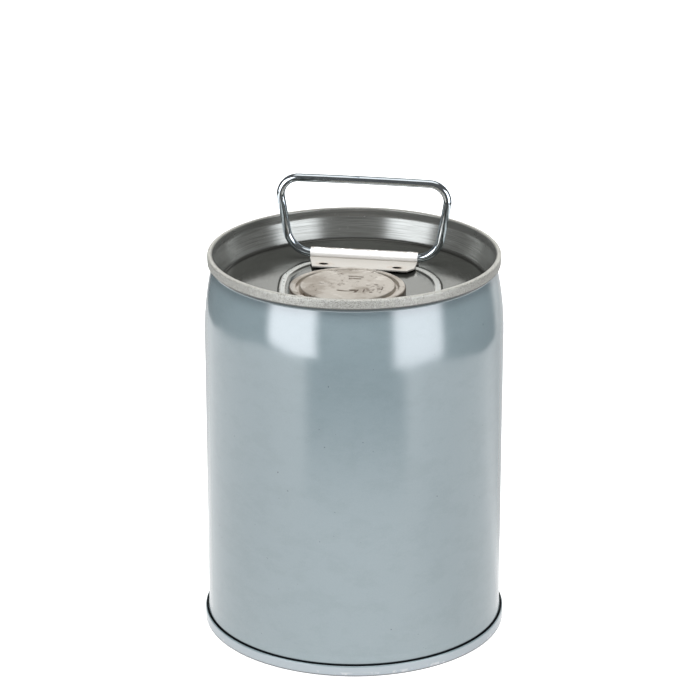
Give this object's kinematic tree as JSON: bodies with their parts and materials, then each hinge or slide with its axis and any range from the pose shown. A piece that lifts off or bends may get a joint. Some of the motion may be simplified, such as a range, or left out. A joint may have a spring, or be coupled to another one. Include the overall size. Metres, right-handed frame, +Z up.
{
  "type": "steel paint can",
  "caption": "Round tight-head steel can with a necked top, double-seamed ends, a screw closure under a crimped cap seal, and a swinging wire bail handle.",
  "frame": {"origin": "centre of the base, on the surface the can stands on", "axes": "+Z up along the can's axis; the closure lies towards -Y of the axis and the handle's hinge towards +Y, with its axis along X"},
  "size_m": [0.185, 0.185, 0.2713],
  "materials": {
    "body_paint": "semi-gloss grey-blue enamel",
    "lacquered_end": "satin grey lacquer over tinplate, worn bare on the chime",
    "seam_compound": "matt sealing compound",
    "bung_steel": "dull zinc plating",
    "gasket_rubber": "matt black",
    "cap_tinplate": "satin warm tinplate",
    "strap_tinplate": "bright tinplate",
    "zinc_wire": "bright zinc plating"
  },
  "bodies": {
    "can": {"body_shell": "body_paint", "top_end": "lacquered_end", "bottom_end": "body_paint", "top_seam_compound": "seam_compound", "bottom_seam_compound": "seam_compound", "bung_flange": "bung_steel", "flange_gasket": "gasket_rubber", "handle_strap": "strap_tinplate"},
    "gasket": {"plug_gasket": "gasket_rubber"},
    "plug": {"plug": "bung_steel"},
    "cap": {"cap_seal": "cap_tinplate"},
    "bail": {"bail_handle": "zinc_wire"}
  },
  "joints": [
    {"name": "bail_swing", "type": "hinge", "parent": "can", "child": "bail", "pos_m": [0, 0.0374, 0.2209], "axis": [1, 0, 0], "range_deg": [-57, 25]},
    {"name": "plug_rise", "type": "slide", "parent": "can", "child": "gasket", "axis": [0, 0, 1], "range_m": [0, 0.0232]},
    {"name": "plug_turn", "type": "hinge", "parent": "gasket", "child": "plug", "pos_m": [0, -0.024, 0.217], "axis": [0, 0, 1], "range_deg": [0, 3600]},
    {"name": "cap_lift", "type": "slide", "parent": "gasket", "child": "cap", "axis": [0, 0, 1], "range_m": [0, 0.06]}
  ],
  "couplings": [
    {"joint": "plug_rise", "follows": "plug_turn", "m_per_rad": 0.00036749}
  ]
}
